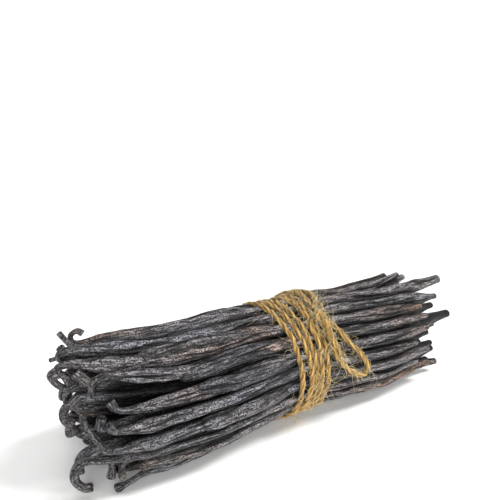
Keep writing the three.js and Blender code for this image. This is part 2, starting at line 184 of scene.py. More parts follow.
def joined_tubes(name, tubes, material):
    """One mesh of closed tubes. Each is its rings of points and named values for each point."""
    points, loops, sizes, values = [], [], [], {}
    first = 0
    for rings, named in tubes:
        count, sides, _ = rings.shape
        row = first + np.arange(count)[:, None] * sides
        side = np.arange(sides)
        after = (side + 1) % sides
        quads = np.stack([row[:-1] + side, row[:-1] + after, row[1:] + after, row[1:] + side], -1)
        start, end = first + count * sides, first + count * sides + 1
        head = np.stack([np.full(sides, start), row[0] + after, row[0] + side], -1)
        tail = np.stack([np.full(sides, end), row[-1] + side, row[-1] + after], -1)
        loops += [quads.ravel(), head.ravel(), tail.ravel()]
        sizes += [np.full((count - 1) * sides, 4), np.full(2 * sides, 3)]
        points += [rings.reshape(-1, 3), rings[0].mean(0)[None], rings[-1].mean(0)[None]]
        for key, value in named.items():
            flat = value.reshape(count * sides, -1)
            caps = [value[edge].reshape(sides, -1).mean(0)[None] for edge in (0, -1)]
            values.setdefault(key, []).extend([flat, *caps])
        first += count * sides + 2
    points, loops, sizes = to_frame(np.vstack(points)), np.concatenate(loops), np.concatenate(sizes)
    mesh = bpy.data.meshes.new(name)
    mesh.vertices.add(len(points))
    mesh.vertices.foreach_set("co", points.ravel())
    mesh.loops.add(len(loops))
    mesh.loops.foreach_set("vertex_index", loops)
    mesh.polygons.add(len(sizes))
    mesh.polygons.foreach_set("loop_start", np.cumsum(sizes) - sizes)
    mesh.polygons.foreach_set("use_smooth", np.ones(len(sizes), bool))
    mesh.update(calc_edges=True)
    mesh.validate()
    for key, parts in values.items():
        value = np.vstack(parts)
        kind, field = ("FLOAT_VECTOR", "vector") if value.shape[1] == 3 else ("FLOAT", "value")
        mesh.attributes.new(key, kind, "POINT").data.foreach_set(field, value.ravel())
    mesh.materials.append(material)
    piece = bpy.data.objects.new(name, mesh)
    bpy.context.scene.collection.objects.link(piece)
    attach(piece, "root")
    return piece


def twisted(path, seed):
    """A length of twine along a path: its rings, where each point is in the ply, and its depth."""
    total = lengths_along(path)[-1]
    path = respaced(path, np.arange(0, total, twine_step))
    across, over = frames_along(path)
    along = (np.arange(len(path)) * twine_step)[:, None]
    chance = np.random.default_rng(seed)
    swell = np.sin(along / swell_lengths[0] + chance.uniform(*wave_start))
    swell = 1 + twine_swell * swell * np.sin(along / swell_lengths[1])
    angle = np.linspace(0, 2 * math.pi, twine_sides, endpoint=False)
    third = 2 * math.pi / 3
    wave = (angle + third / 2) % third - third / 2
    outline = ply_offset * np.cos(wave) + np.sqrt(ply_radius**2 - (ply_offset * np.sin(wave)) ** 2)
    ragged = chance.normal(0, fray_grain, (len(path), twine_sides))
    for waves, size in fray_waves:
        turn = chance.uniform(*fray_turn) * np.sin(along / chance.uniform(*fray_turn_length))
        fade = np.sin(along / chance.uniform(*fray_fade_length))
        ragged += size * np.sin(waves * angle + turn) * fade
    radius = outline * swell + ragged
    radius *= np.minimum(1, end_share + np.minimum(along, along[::-1]) / end_slope)
    turned = angle + 2 * math.pi * along / ply_turn_mm
    turned = turned + ply_wander * np.sin(along / ply_wander_length + seed)
    rings = path[:, None] + radius[..., None] * (
        across[:, None] * np.cos(turned)[..., None] + over[:, None] * np.sin(turned)[..., None])
    lay = np.stack([radius * np.cos(angle), radius * np.sin(angle),
                    along + np.zeros_like(radius) + pattern_apart * seed], -1)
    height = (outline - outline.min()) / np.ptp(outline) + np.zeros_like(radius)
    return rings, {"lay": lay * MM, "height": height}


def linear(hex_colour):
    """A shader colour from an sRGB hex value."""
    channels = [int(hex_colour[place:place + 2], 16) / 255 for place in (1, 3, 5)]
    return [c / 12.92 if c <= 0.04045 else ((c + 0.055) / 1.055) ** 2.4 for c in channels] + [1.0]


def add_node(material, kind, links=(), **settings):
    """A shader node with its settings. Numbered keys set inputs, and links feed them."""
    node = material.node_tree.nodes.new(kind)
    for key, value in settings.items():
        if key.startswith("input_"):
            node.inputs[int(key[6:])].default_value = value
        else:
            setattr(node, key, value)
    for socket, output in dict(links).items():
        material.node_tree.links.new(output, node.inputs[socket])
    return node


def colour_ramp(material, factor, *stops):
    """A ramp of hex colours at given places."""
    ramp = add_node(material, "ShaderNodeValToRGB", {0: factor})
    elements = ramp.color_ramp.elements
    for index, (place, colour) in enumerate(stops):
        element = elements[index] if index < 2 else elements.new(place)
        element.position = place
        element.color = linear(colour)
    return ramp


def new_material(name):
    material = bpy.data.materials.new(name)
    material.use_nodes = True
    material.node_tree.nodes.clear()
    return material


def surface(material, base, roughness, normal, plain=()):
    """The material's Principled surface, with plain values on sockets of its own."""
    links = {"Base Color": base, "Roughness": roughness, "Normal": normal}
    shader = add_node(material, "ShaderNodeBsdfPrincipled", links)
    for socket, value in dict(plain).items():
        shader.inputs[socket].default_value = value
    add_node(material, "ShaderNodeOutputMaterial", {0: shader.outputs[0]})


# Jute is a bast fibre: matt, straw to gold, with a silky sheen along the fibres. Shade is painted
# into its colour in the grooves between the plies. A strand of fibres is about 0.4 mm wide, and
# 4 mm long between bends.
jute = new_material("twisted_jute")
strand_mm = 0.38
strand_length_mm = 4.0
strand_relief_mm = 0.4
patch_mm = 6.25
patch_share = 0.35
ply_groove_shade = [0.3, 0.56]
tone_range = [0.65, 1.35]
lay = add_node(jute, "ShaderNodeAttribute", attribute_name="lay")
height = add_node(jute, "ShaderNodeAttribute", attribute_name="height")
stretched = add_node(
    jute, "ShaderNodeMapping", {0: lay.outputs["Vector"]},
    input_3=(1 / (strand_mm * MM), 1 / (strand_mm * MM), 1 / (strand_length_mm * MM)))
strands = add_node(
    jute, "ShaderNodeTexNoise", {0: stretched.outputs[0]}, input_2=1.0, input_3=3.0)
patches = add_node(
    jute, "ShaderNodeTexNoise", {0: lay.outputs["Vector"]},
    input_2=1 / (patch_mm * MM), input_3=2.0)
# Painted shade: the tone is lowered in the grooves between the plies.
depth = add_node(
    jute, "ShaderNodeMapRange", {0: height.outputs["Fac"]},
    input_3=ply_groove_shade[0], input_4=ply_groove_shade[1])
tone = add_node(
    jute, "ShaderNodeMath", {0: strands.outputs[0], 1: depth.outputs[0]}, operation="ADD")
tone = add_node(
    jute, "ShaderNodeMath", {0: patches.outputs[0], 2: tone.outputs[0]},
    operation="MULTIPLY_ADD", input_1=patch_share)
tone = add_node(
    jute, "ShaderNodeMapRange", {0: tone.outputs[0]},
    input_1=tone_range[0], input_2=tone_range[1])
jute_colour = colour_ramp(
    jute, tone.outputs[0], (0.0, "#171004"), (0.35, "#412d0e"), (0.65, "#745720"), (1.0, "#be964e"))
jute_rough = add_node(
    jute, "ShaderNodeMapRange", {0: strands.outputs[0]}, input_3=0.8, input_4=0.98)
jute_bump = add_node(
    jute, "ShaderNodeBump", {"Height": strands.outputs[0]},
    input_0=0.9, input_1=strand_relief_mm * MM)
surface(jute, jute_colour.outputs[0], jute_rough.outputs[0], jute_bump.outputs[0],
        {"Sheen Weight": 0.15})

loop_path = smooth_curve([off_skin(place) for place in loop_places], curve_steps)
loop = joined_tubes("bow_loop", [twisted(loop_path, seed=1)], jute)
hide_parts("twine_loop")


# Pods. Fifty-four cured vanilla pods are packed side by side, tight at the waist where they are
# tied and looser at both ends, and the ends of four more lie over them. Each is a limp, oily,
# deeply wrinkled tube with a thin stalk.
pod_count = 54
pod_radius = [2.5, 3.4]
station_step = 18
stations_each_way = 4
wander = 1.7
settle_rounds = 60
settle_share = 0.3
golden_angle = 137.5
outer_reach = 4.2
swing_reach = 22
pod_curve_steps = 24
draw_state = 2026

# Where necks and tips end, how they are set back round the heap, and how pods narrow to both.
neck_x = [-78, -72]
tip_x = [56, 70]
far_slant = 0.35
under_slant = 0.5
near_slant = 0.25
neck_length = [12, 20]
neck_lead = 2
tip_length = [13, 22]
tip_share = 0.5
swell_share = 0.07
swell_length = [24, 40]

# Stalks that aren't placed one by one curl in a plain arc.
stalk_radius = 1.05
knob_radius = 1.55
knob_length = 1.7
curl_radius = [2, 3.2]
curl_turn = [50, 150]
curl_step = 75
curl_stretch = 0.15
floor_clearance = 2

# Stalks that show on the near side: where the neck ends, steps (across, up) of the stalk in an
# upright plane turned by stalk_plane degrees, and the radius of the stalk and of its knob.
stalk_plane = -38
near_stalks = [
    [[-66, -17, 6.4], [[-3.1, -2.2], [-5.3, -3.6], [-7.2, -4.6]], 1, 1.6],
    [[-64, -20.5, 11.8], [[-1, -0.3], [-2.2, -1]], 2.1, 2],
    [[-75.5, -22, 20.5], [[-3.7, -0.2], [-5.8, 2.7], [-7.9, 5.3], [-9.5, 8], [-10, 11]], 1.1, 0.9],
    [[-73.7, -20, 16.5], [[-6.4, -0.9], [-10.5, -1.3], [-13.3, -3], [-14.5, -5.6], [-14.5, -7.9],
                          [-13.3, -9.6], [-11.8, -10.5], [-10.3, -10.3]], 1.5, 1.65],
    [[-75, -11, 17], [[-3, -1], [-6.4, -3.3], [-7.9, -6], [-7.9, -9]], 1.7, 1.4],
    [[-77, 1.4, 45.8], [[-2, 1.8], [-4.1, 4.4]], 0.95, 1],
    [[-75, 6.5, 45.2], [[-0.7, 2], [0.3, 3.3], [1.7, 3.9], [2.8, 3.3]], 0.9, 1.2],
    [[-79, -1.6, 46.2], [[-3, -0.7], [-4, -2.3], [-3, -3.7]], 1.6, 1],
    [[-82, -4.5, 43.6], [[-2.9, -1.2], [-2.9, -2.8], [-1.2, -3.8], [-0.2, -5.7], [0.2, -7.7]],
     1.3, 1.1],
    [[-81, 1.7, 43.1], [[-1.4, 0], [-3.5, -0.6]], 0.75, 0.8],
    [[-74, -15, 41.6], [[-2.4, -0.7], [-4.6, -2.7], [-5.2, -5.3]], 1.4, 1.2],
    [[-77, -10, 37], [[-2.2, 2], [-4.3, 4]], 1.7, 1.7],
    [[-80, -6.4, 37], [[-3, -1.3], [-5.5, -0.4], [-7.3, 1.3], [-7.8, 3], [-6.4, 3.8]], 1.2, 2.1],
    [[-79, -3.2, 34], [[-2.3, -0.6], [-3.4, -2.1], [-3.7, -4]], 0.9, 1],
    [[-80, -12.5, 35], [[-2.4, -0.3], [-3.7, -1.7]], 1.7, 1.5],
    [[-80, -9, 30.5], [[-4.3, 0.7], [-5.9, -1.3], [-5.8, -3.7], [-4.1, -5]], 1.5, 2.2],
    [[-79, -1.5, 19.5], [[-1.2, -0.3], [-2.4, -0.5]], 1.6, 2.2],
    [[-78, -8, 22], [[-1.2, -2], [-2.4, -2.3], [-4, -1.2], [-5, 1]], 0.85, 0.9],
    [[-74, -14.4, 12.5], [[-0.3, -2.3], [-0.6, -4.6]], 1.1, 1.5],
    [[-72, -17, 12.5], [[-0.2, -2], [-0.3, -4.3]], 1, 1.3],
]
# Blossom tips that show: where each ends, and its radius there.
near_tips = [
    [[83, -1.3, 35.3], 2], [[76, -6.8, 31], 1.3], [[74, -6.7, 27.5], 1.5], [[83, -7.6, 22.2], 1.8],
    [[78, -4.8, 17.7], 1], [[69, -5.9, 12.3], 1.6], [[74, -6.9, 9.2], 2.2], [[70, -9.2, 5.7], 1.5],
    [[74, -10.6, 4.2], 1.4], [[63, 9, 38], 1.4], [[67, 6, 38.4], 1.4], [[71, 6.5, 36.6], 1.4],
]

# Four more pods lie over the others with a blunt end towards the stalks, and sink in among them
# at the tie, where they stop: radius, then places off the skin.
over_pods = [
    [3.2, [[-49.5, 136, -3.2], [-39, 136, -3], [-27, 135, -3.2], [-17, 137, -4], [-6, 139, -6.5]]],
    [2.7, [[-46, 152, -3.1], [-35, 154, -3], [-23, 156, -3.2], [-15, 157, -4], [-6, 157, -6.5]]],
    [2.8, [[-46.5, 182, -3.1], [-35, 182, -3], [-24, 184, -3.2], [-16, 186, -4], [-6, 189, -6.5]]],
    [2.5, [[-60, 112, -3], [-49, 111, -2.8], [-36, 112, -3], [-22, 116, -4], [-8, 118, -6.5]]],
]


def draw(low, high):
    """The next of the seeded draws that the solids are laid out by."""
    global draw_state
    draw_state = (draw_state * 1664525 + 1013904223) % 2**32
    return low + (high - low) * draw_state / 2**32


def smooth(share):
    share = np.clip(share, 0, 1)
    return share * share * (3 - 2 * share)


def settle(places, radii, reach):
    """Overlapping pods push each other apart, and the skin holds them in."""
    first, second = np.triu_indices(pod_count, 1)
    for _ in range(settle_rounds):
        between = places[second] - places[first]
        distance = np.linalg.norm(between, axis=1)
        push = np.maximum(0, radii[first] + radii[second] - distance) * settle_share
        between *= (push / distance)[:, None]
        np.add.at(places, first, -between)
        np.add.at(places, second, between)
        distance = np.linalg.norm(places, axis=1)
        places *= np.minimum(1, (reach - radii) / distance)[:, None]


radii = np.array([draw(*pod_radius) for _ in range(pod_count)])
turn = np.radians(golden_angle) * np.arange(pod_count)
spread = (half_width(0) - pod_radius[1]) * np.sqrt((np.arange(pod_count) + 0.5) / pod_count)
waist = spread[:, None] * np.stack([np.cos(turn), np.sin(turn)], 1)
settle(waist, radii, half_width(0))
stations = {0: waist}
for side in (-1, 1):
    for step in range(1, stations_each_way + 1):
        x = side * step * station_step
        before = x - side * station_step
        drift = np.array([[draw(-wander, wander), draw(-wander, wander)] for _ in range(pod_count)])
        places = stations[before] * half_width(x) / half_width(before) + drift
        settle(places, radii * half_width(x) / half_width(0), half_width(x))
        stations[x] = places
station_x = sorted(stations)


def place_at(index, x):
    left = min(len(station_x) - 2, max(0, math.floor((x - station_x[0]) / station_step)))
    share = (x - station_x[left]) / station_step
    before, after = stations[station_x[left]][index], stations[station_x[left + 1]][index]
    return (1 - share) * before + share * after


def in_bundle(x, place):
    return np.array([x, place[0], lift(x) + press * (half_width(x) + place[1])])


pods = []
for index in range(pod_count):
    stalk_end, tip_end = place_at(index, neck_x[0]), place_at(index, tip_x[0])
    neck = draw(*neck_x) + far_slant * max(0, stalk_end[0]) + under_slant * max(0, -stalk_end[1])
    tip = draw(*tip_x) - near_slant * max(0, -tip_end[0])
    pods.append({
        "index": index, "radius": radii[index], "tip_radius": radii[index] * tip_share,
        "neck": in_bundle(neck, place_at(index, neck)), "tip": in_bundle(tip, place_at(index, tip)),
        "neck_length": draw(*neck_length), "tip_length": draw(*tip_length),
        "swell_length": draw(*swell_length), "swell_phase": draw(0, 2 * math.pi),
        "curl_radius": draw(*curl_radius), "curl_turn": draw(*curl_turn),
        "curl_angle": draw(0, 2 * math.pi),
        "stalk": stalk_radius, "knob": knob_radius, "steps": None,
    })


def nearest_free(point, taken):
    """The free pod whose place in the packing is nearest to a point."""
    x, y, z = point
    target = np.array([y, (z - lift(x)) / press - half_width(x)])
    free = [pod for pod in pods if pod["index"] not in taken]
    nearest = min(free, key=lambda pod: np.linalg.norm(place_at(pod["index"], x) - target))
    taken.add(nearest["index"])
    return nearest


with_stalk, with_tip = set(), set()
for neck, steps, stalk, knob in near_stalks:
    pod = nearest_free(neck, with_stalk)
    pod.update(neck=np.array(neck, float), steps=steps, stalk=stalk, knob=knob)
for end, radius in near_tips:
    nearest_free(end, with_tip).update(tip=np.array(end, float), tip_radius=radius)


def body_point(pod, x):
    """Where a pod passes a station, swung over towards a neck or tip that lies elsewhere."""
    point = in_bundle(x, place_at(pod["index"], x))
    for end in (pod["neck"], pod["tip"]):
        swing = end - in_bundle(end[0], place_at(pod["index"], end[0]))
        point = point + swing * math.exp(-abs(x - end[0]) / swing_reach)
    return point


def stalk_points(pod):
    """Points of a stalk from its neck outwards: the steps that show, or a plain arc."""
    if pod["steps"]:
        plane = math.radians(stalk_plane)
        return [pod["neck"] + [out * math.cos(plane), out * math.sin(plane), up]
                for out, up in pod["steps"]]
    side = np.array([0, math.cos(pod["curl_angle"]), math.sin(pod["curl_angle"])])
    if pod["neck"][2] + 2 * side[2] * pod["curl_radius"] < floor_clearance:
        side[2] = abs(side[2])
    count = math.ceil(pod["curl_turn"] / curl_step)
    points = []
    for step in range(1, count + 1):
        angle = math.radians(pod["curl_turn"] * step / count)
        out = pod["curl_radius"] * (math.sin(angle) + curl_stretch * angle)
        points.append(pod["neck"] - [out, 0, 0] + side * pod["curl_radius"] * (1 - math.cos(angle)))
    return points


def pod_line(pod):
    """A pod's middle line from the knob to the tip, and the length along it where the neck is."""
    stalk = stalk_points(pod)[::-1]
    room = station_step / 3
    inner = [x for x in station_x if pod["neck"][0] + room < x < pod["tip"][0] - room]
    points = [*stalk, pod["neck"], *[body_point(pod, x) for x in inner], pod["tip"]]
    line = smooth_curve(points, pod_curve_steps)
    return line, lengths_along(line)[pod_curve_steps * len(stalk)]


def pod_width(pod, along, neck_at, total):
    """The radius of a pod at lengths along it, before its wrinkles."""
    knob = (pod["knob"] - pod["stalk"]) * np.exp(-((along / knob_length) ** 2))
    swell = swell_share * np.sin(2 * math.pi * along / pod["swell_length"] + pod["swell_phase"])
    thin = pod["stalk"] + knob
    share = smooth((along - neck_at + neck_lead) / pod["neck_length"])
    grown = thin + (pod["radius"] * (1 + swell) - thin) * share
    share = smooth((total - along) / pod["tip_length"])
    return pod["tip_radius"] + (grown - pod["tip_radius"]) * share


# Curing shrinks the flesh under the skin: the pod falls in to an uneven, angular section, deep
# furrows wander along it, and fine wrinkles run between them. The stalk dries to a cut end with
# a raised rim. Shade is painted into the skin in the gaps between pods and deep in the heap, and
# its outer faces are painted lighter.
outer_sides = 52
inner_sides = 28
outer_step = 0.9
inner_step = 1.5
stalk_step = 0.45
end_length = 5
end_rings = 10
first_seed = 7000

# The section is uneven by waves round the pod, with depths as shares of its radius. They turn
# and come and go along it, and are less at the neck and the tip.
waves_round = [[2, 0.12], [3, 0.09], [4, 0.06], [5, 0.05]]
wave_turn = 0.5
wave_turn_length = [9, 22]
wave_fade = 0.3
wave_fade_length = [5, 12]
neck_smooth_length = 10
tip_smooth_length = 12
tip_uneven = 0.35
lump_height = 0.035
lump_length = [1.6, 3]
lump_slant = 9

# Furrows, and finer creases between them: depths in a pod of furrow_radius, widths and swings in
# radians, and the lengths over which they swing, shake, pinch and come and go.
furrow_radius = 3
furrow_count = [5, 9]
furrow_depth = [0.4, 1.0]
furrow_width = [0.11, 0.2]
furrow_shape = 1.5
furrow_stray = 0.35
furrow_swing = [0.1, 0.4]
furrow_swing_length = [6, 15]
furrow_shake = 0.07
furrow_shake_length = [1.2, 2.5]
furrow_pinch = 0.35
furrow_pinch_length = [2, 6]
furrow_fade = [0.55, 0.9]
furrow_fade_length = [5, 12]
crease_count = 14
crease_depth = [0.15, 0.45]
crease_width = 0.55
crease_fade = 1.6
crease_fade_length = [1.5, 4]
stalk_furrows = 0.22

# Fine wrinkles: how many go round, how deep they are, and how they swing and come and go.
outer_wrinkles = [9, 13, 19]
inner_wrinkles = [7, 9]
wrinkle_depth = 0.05
wrinkle_swing = 2.5
wrinkle_swing_length = [2, 6]
wrinkle_fade_length = [0.9, 2.2]

# Both ends are closed by rings, each pushed out and scaled by shares of the pod's radius.
end_round = 0.55
end_angles = [0.35, 0.7, 1.05, 1.35]
stalk_cup = [[-0.15, 0.3], [-0.25, 0.62], [0.35, 0.78], [0.5, 0.93], [0.3, 1.02]]
# Shade painted into the stalk's cup, ring by ring, on the same scale as the shade of a furrow.
cup_painted_shade = [0.8, 0.5, 0.1, 0.0, 0.0]

# Where shade is painted on the skin, by depth in the heap and by the gap to the next pod, and how
# much of the painted light the stalks get; then how dark the shade painted into its furrows is,
# how its tone drifts, and how much warmer it is towards the tips.
painted_shade_depth = [1.2, 5.5]
gap_shade_width = 0.4
gap_shade_reach = 3.3
stalk_painted_light = 0.5
stalk_painted_light_length = 8
furrow_shade_gain = 1.2
tone_drift = 0.12
tone_drift_length = 17
tip_warmth = 0.2
pod_pattern_apart = 40

pod_lines = []
for pod in pods:
    line, neck_at = pod_line(pod)
    body = line[np.argmax(lengths_along(line) >= neck_at):]
    pod_lines.append((line, neck_at, body, pod_width(
        pod, lengths_along(body) + neck_at, neck_at, lengths_along(line)[-1])))


def painted_light_share(points, number):
    """Painted light: one on the outside of the heap, falling to nothing as painted shade in the
    gaps between its pods and deep in the heap.
    """
    x, y, z = points[..., 0], points[..., 1], points[..., 2]
    width = waist_half_width - taper_per_mm * x - tie_pinch * np.exp(-((x / tie_reach) ** 2))
    rise = tie_lift * np.exp(-((x / lift_reach) ** 2)) - floor_sink
    depth = width - np.hypot(y, (z - rise) / press - width)
    clear = np.full_like(x, gap_shade_reach)
    for other, (_, _, body, radius) in enumerate(pod_lines):
        if other != number:
            beside_y, beside_z, beside = (
                np.interp(x, body[:, 0], values) for values in (body[:, 1], body[:, 2], radius))
            apart = np.hypot(y - beside_y, (z - beside_z) / press) - beside
            inside = (x > body[0, 0]) & (x < body[-1, 0])
            clear = np.where(inside, np.minimum(clear, apart), clear)
    painted_light_by_depth = smooth((painted_shade_depth[1] - depth) / (painted_shade_depth[1] - painted_shade_depth[0]))
    return painted_light_by_depth * smooth((clear - gap_shade_width) / (gap_shade_reach - gap_shade_width))


def slow_wave(chance, along, length, turned=0):
    """A wave along a pod, with its length drawn from a range and its start at random."""
    return np.sin(along / chance.uniform(*length) + chance.uniform(*wave_start) + turned)


def wrinkled(number, line, neck_at, width_at, outer, dye, least_painted_light=0.0):
    """A pod's rings with its furrows, and the values that its skin is coloured by, painted shade
    and light among them.
    """
    chance = np.random.default_rng(first_seed + number)
    total = lengths_along(line)[-1]
    fine_until = max(neck_at, 0) + end_length
    along = np.concatenate([
        np.arange(0, fine_until, stalk_step),
        np.arange(fine_until, total - end_length, outer_step if outer else inner_step),
        np.linspace(total - end_length, total, end_rings),
    ])
    path = respaced(line, along)
    across, over = frames_along(path)
    sides = outer_sides if outer else inner_sides
    angle = np.linspace(0, 2 * math.pi, sides, endpoint=False)
    width = width_at(along, neck_at, total)[:, None]
    along = along[:, None]
    uneven = smooth((along - neck_at) / neck_smooth_length) * (
        tip_uneven + (1 - tip_uneven) * smooth((total - along) / tip_smooth_length))
    strength = stalk_furrows + (1 - stalk_furrows) * uneven

    section = np.zeros((len(along), sides))
    for waves, size in waves_round:
        turn = chance.uniform(*wave_start)
        turn = turn + wave_turn * slow_wave(chance, along, wave_turn_length)
        fade = 1 - wave_fade + wave_fade * np.sin(along / chance.uniform(*wave_fade_length))
        section += size * np.cos(waves * (angle - turn)) * fade
    furrow = np.zeros_like(section)
    furrows = chance.integers(furrow_count[0], furrow_count[1] + 1)
    for place in range(furrows + crease_count):
        crease = place >= furrows
        stray = chance.uniform(-furrow_stray, furrow_stray)
        middle = 2 * math.pi * (place + stray) / (crease_count if crease else furrows)
        swing = chance.uniform(*furrow_swing)
        middle = middle + swing * slow_wave(chance, along, furrow_swing_length)
        middle = middle + furrow_shake * slow_wave(chance, along, furrow_shake_length)
        off = (angle - middle + math.pi) % (2 * math.pi) - math.pi
        size = chance.uniform(*furrow_width)
        pinch = np.sin(along / chance.uniform(*furrow_pinch_length))
        size = size * (1 + furrow_pinch * pinch)
        fade = furrow_fade[0] + furrow_fade[1] * slow_wave(chance, along, furrow_fade_length)
        if crease:
            fade = crease_fade * slow_wave(chance, along, crease_fade_length)
            size = size * crease_width
        deepest = chance.uniform(*(crease_depth if crease else furrow_depth))
        cut = np.exp(-np.abs(off / size) ** furrow_shape)
        furrow = np.maximum(furrow, deepest * np.clip(fade, 0, 1) * cut)
    fine = np.zeros_like(section)
    for waves in outer_wrinkles if outer else inner_wrinkles:
        turn = chance.uniform(*wave_start)
        turn = turn + wrinkle_swing * slow_wave(chance, along, wrinkle_swing_length)
        fade = 0.5 + 0.5 * slow_wave(chance, along, wrinkle_fade_length, 2 * angle)
        fine += wrinkle_depth * np.sin(waves * angle + turn) * fade
    lump = lump_height * slow_wave(chance, along, lump_length, np.sin(angle + along / lump_slant))
    radius = width * (1 + (section + lump) * uneven)
    radius = radius + (fine - furrow) * strength * width / furrow_radius

    across_point = radius * np.cos(angle)
    over_point = radius * np.sin(angle)
    offset = across_point[..., None] * across[:, None] + over_point[..., None] * over[:, None]
    offset[..., 2] *= press
    rings = path[:, None] + offset
    rings[..., 2] = np.maximum(rings[..., 2], 0)
    along_point = along + pod_pattern_apart * number + np.zeros_like(radius)
    lay = np.stack([across_point, over_point, along_point], -1)
    # Painted shade in the furrows: how far each point's colour is darkened there.
    painted_furrow_shade = np.clip(furrow_shade_gain * furrow * strength, 0, 1)
    # Painted shade and light: dark in the gaps between pods and deep in the heap, lighter outside,
    # and a fixed share of light on the stalks.
    stalk = 1 - smooth((along - neck_at) / stalk_painted_light_length)
    painted_light = least_painted_light + (1 - least_painted_light) * painted_light_share(rings, number)
    painted_light += (stalk_painted_light - painted_light) * stalk
    tone = dye + tone_drift * np.sin(along / tone_drift_length + number)
    tone = tone + tip_warmth * smooth(path[:, :1] / tip_x[0]) + np.zeros_like(radius)

    # The stalk's cut end: a rounded rim, then a shallow cup. A tip is rounded off.
    start_out, end_out = path[0] - path[1], path[-1] - path[-2]
    start_out /= np.linalg.norm(start_out)
    end_out /= np.linalg.norm(end_out)
    rounded = [(end_round * math.sin(turn), math.cos(turn)) for turn in end_angles]
    start = stalk_cup if neck_at > 0 else rounded[::-1]
    shapes = [(0, start_out, *shape) for shape in start]
    shapes += [(-1, end_out, *shape) for shape in rounded]
    made = [path[ring] + out * push * width[ring, 0] + (rings[ring] - path[ring]) * scale
            for ring, out, push, scale in shapes]
    first, last = len(start), len(rounded)
    rings = np.concatenate([made[:first], rings, made[first:]])
    values = {"lay": lay * MM, "furrow": painted_furrow_shade, "tone": tone, "painted_light": painted_light}
    for key, value in values.items():
        values[key] = np.concatenate([value[:1]] * first + [value] + [value[-1:]] * last)
    # The stalk's cup gets painted shade.
    if neck_at > 0:
        values["furrow"][:first] = np.array(cup_painted_shade)[:, None]
    return rings, values


# Cured skin is brown-black and waxy with vanillin and oil. Ridges shine grey, shade is painted
# near black into the furrows, and a few pods show brown where they cured less. The skin's grain
# is about 0.1 mm and its finest wrinkles 0.3 mm: both are drawn at 0.55 mm, so that they show.
skin = new_material("cured_pod_skin")
wrinkle_mm = 0.55
wrinkle_length_mm = 5.0
wrinkle_relief_mm = 0.5
grain_mm = 0.55
grain_relief_mm = 0.4
cured_patch_mm = 100 / 9
cured_patch_share = 0.5

# How bright the skin gets, as shares of its dye's own brightness: from the lows to the highs of
# its wrinkles and of its grain, from the painted shade deep in the gaps to the painted light on
# the outside, and from ridge to the painted shade of a furrow. Most values of a noise lie between
# the two of usual_noise.
wrinkle_light = [0.2, 1.9]
grain_light = [0.15, 2.5]
painted_light_range = [0.02, 1.6]
ridge_to_furrow_shade = [1.0, 0.06]
furrow_span = [0.03, 0.4]
usual_noise = {"input_1": 0.38, "input_2": 0.62}
lay = add_node(skin, "ShaderNodeAttribute", attribute_name="lay")
furrow = add_node(skin, "ShaderNodeAttribute", attribute_name="furrow")
tone = add_node(skin, "ShaderNodeAttribute", attribute_name="tone")
# This attribute carries the painted light and shade of the gaps between pods and of depth in the
# heap.
painted_light = add_node(skin, "ShaderNodeAttribute", attribute_name="painted_light")
stretched = add_node(
    skin, "ShaderNodeMapping", {0: lay.outputs["Vector"]},
    input_3=(1 / (wrinkle_mm * MM), 1 / (wrinkle_mm * MM), 1 / (wrinkle_length_mm * MM)))
wrinkles = add_node(
    skin, "ShaderNodeTexNoise", {0: stretched.outputs[0]}, input_2=1.0, input_3=2.0)
grain = add_node(
    skin, "ShaderNodeTexNoise", {0: lay.outputs["Vector"]},
    input_2=1 / (grain_mm * MM), input_3=1.0)
patches = add_node(
    skin, "ShaderNodeTexNoise", {0: lay.outputs["Vector"]},
    input_2=1 / (cured_patch_mm * MM), input_3=2.0)
shade = add_node(
    skin, "ShaderNodeMath", {0: patches.outputs[0], 2: tone.outputs["Fac"]},
    operation="MULTIPLY_ADD", input_1=cured_patch_share)
skin_colour = colour_ramp(
    skin, shade.outputs[0], (0.2, "#37373b"), (0.55, "#3e3b3b"), (0.8, "#423731"), (1.0, "#46342a"))
streaked = add_node(
    skin, "ShaderNodeMapRange", {0: wrinkles.outputs[0]}, **usual_noise,
    input_3=wrinkle_light[0], input_4=wrinkle_light[1])
speckled = add_node(
    skin, "ShaderNodeMapRange", {0: grain.outputs[0]}, **usual_noise,
    input_3=grain_light[0], input_4=grain_light[1])
grain_and_painted_light = add_node(
    skin, "ShaderNodeMath", {0: streaked.outputs[0], 1: speckled.outputs[0]}, operation="MULTIPLY")
# Painted shade and light: the skin is darkened in the gaps between pods and deep in the heap, and
# lightened on the outside.
painted_light_gain = add_node(
    skin, "ShaderNodeMapRange", {0: painted_light.outputs["Fac"]},
    input_3=painted_light_range[0], input_4=painted_light_range[1])
grain_and_painted_light = add_node(
    skin, "ShaderNodeMath", {0: grain_and_painted_light.outputs[0], 1: painted_light_gain.outputs[0]}, operation="MULTIPLY")
lit = add_node(
    skin, "ShaderNodeVectorMath", {0: skin_colour.outputs[0], 3: grain_and_painted_light.outputs[0]},
    operation="SCALE")
# Painted shade: the colour falls to near black in the furrows.
painted_furrow_shade = add_node(
    skin, "ShaderNodeMapRange", {0: furrow.outputs["Fac"]},
    input_1=furrow_span[0], input_2=furrow_span[1],
    input_3=ridge_to_furrow_shade[0], input_4=ridge_to_furrow_shade[1])
base = add_node(
    skin, "ShaderNodeVectorMath", {0: lit.outputs[0], 3: painted_furrow_shade.outputs[0]}, operation="SCALE")
rough = add_node(
    skin, "ShaderNodeMapRange", {0: grain.outputs[0]}, **usual_noise, input_3=0.6, input_4=0.25)
bump = add_node(
    skin, "ShaderNodeBump", {"Height": wrinkles.outputs[0]},
    input_0=1.0, input_1=wrinkle_relief_mm * MM)
bump = add_node(
    skin, "ShaderNodeBump", {"Height": grain.outputs[0], "Normal": bump.outputs[0]},
    input_0=1.0, input_1=grain_relief_mm * MM)
surface(skin, base.outputs[0], rough.outputs[0], bump.outputs[0], {"Specular IOR Level": 0.26})

